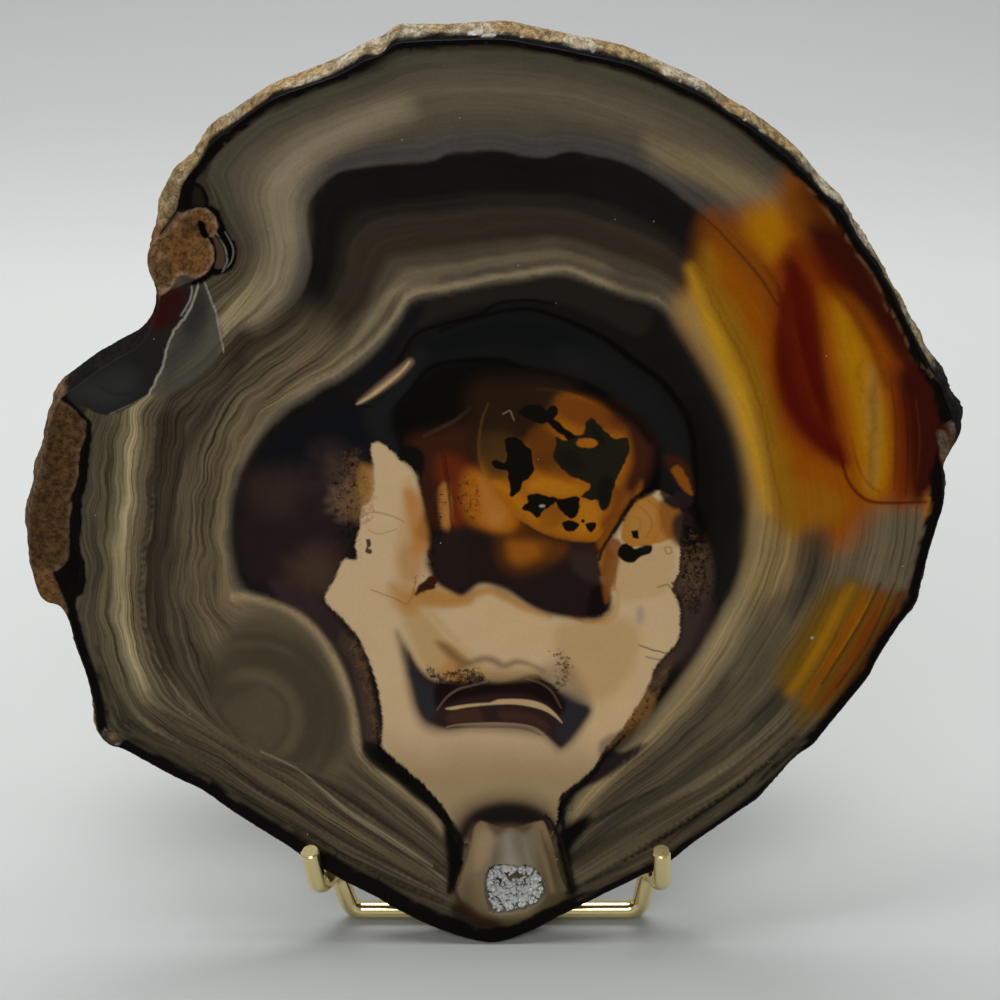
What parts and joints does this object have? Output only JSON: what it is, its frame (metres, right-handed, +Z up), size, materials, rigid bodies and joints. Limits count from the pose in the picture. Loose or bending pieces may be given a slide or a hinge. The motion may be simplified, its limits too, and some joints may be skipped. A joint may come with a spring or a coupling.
{
  "type": "agate slice on a wire easel",
  "caption": "Polished agate slice with a banded face, rough natural rim and a small quartz-lined hollow, leaning on a bent-wire display easel.",
  "frame": {"origin": "middle of the bounding box, on the surface that the easel stands on", "axes": "+Z up, -Y out of the polished face towards the viewer, +X to the viewer's right; +Y is the short way, front to back"},
  "size_m": [0.1458, 0.0668, 0.1424],
  "materials": {
    "agate": "polished, banded, rough brown rind on the rim",
    "quartz": "sparkling crystal points",
    "gold_wire": "bright gold plating"
  },
  "bodies": {
    "root": {"agate_slice": "agate", "quartz_crust": "quartz", "front_cradle": "gold_wire", "back_rest": "gold_wire", "rear_prop": "gold_wire"}
  },
  "joints": []
}
